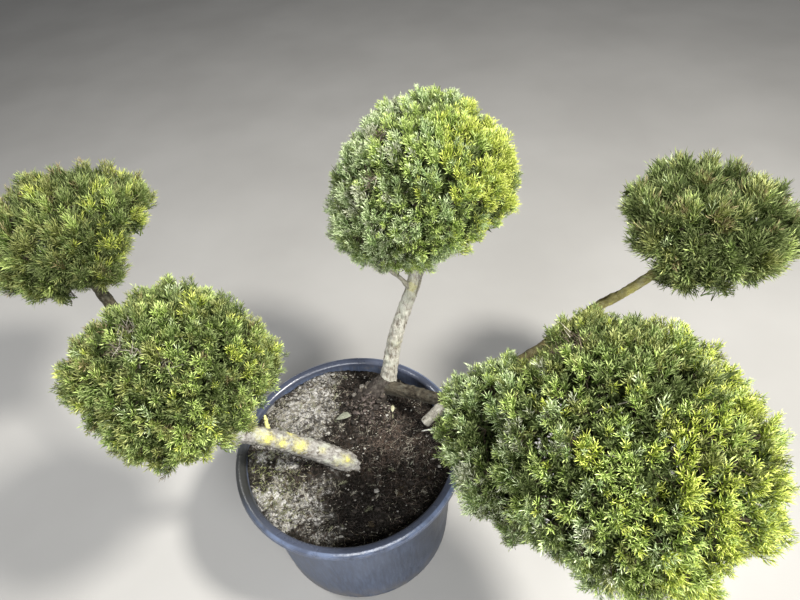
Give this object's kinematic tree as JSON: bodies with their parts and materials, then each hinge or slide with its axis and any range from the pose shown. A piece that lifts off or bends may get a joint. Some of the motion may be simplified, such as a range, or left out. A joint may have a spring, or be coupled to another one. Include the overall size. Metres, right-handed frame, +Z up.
{
  "type": "pompom topiary conifer in pot",
  "caption": "Clipped conifer with bare leaning stems that carry round balls of fine scale-leaf foliage, growing in a round grey-blue plastic nursery pot with a rolled lip",
  "frame": {"origin": "centre of the pot's flat underside, on the ground", "axes": "+Z up; -Y is the front, the side the picture looks from; +X is to the right, towards the pair of right-hand balls"},
  "size_m": [1.8905, 1.214, 1.1289],
  "materials": {
    "pot": "satin",
    "soil": "matte",
    "bark_pale": "matte",
    "bark_brown": "matte",
    "foliage_sage": "matte",
    "foliage_green": "matte"
  },
  "bodies": {
    "root": {"pot": "pot", "soil": "soil", "stem_left": "bark_pale", "trunk_rear": "bark_brown", "bough_centre": "bark_pale", "bough_right": "bark_brown", "bough_right_rear": "bark_brown", "bough_left_rear": "bark_brown", "stub_right": "bark_pale", "foliage_centre": "foliage_sage", "foliage_left_front": "foliage_green", "foliage_left_rear": "foliage_green", "foliage_right_rear": "foliage_sage", "foliage_right_front": "foliage_green", "foliage_right_inner": "foliage_sage"}
  },
  "joints": []
}
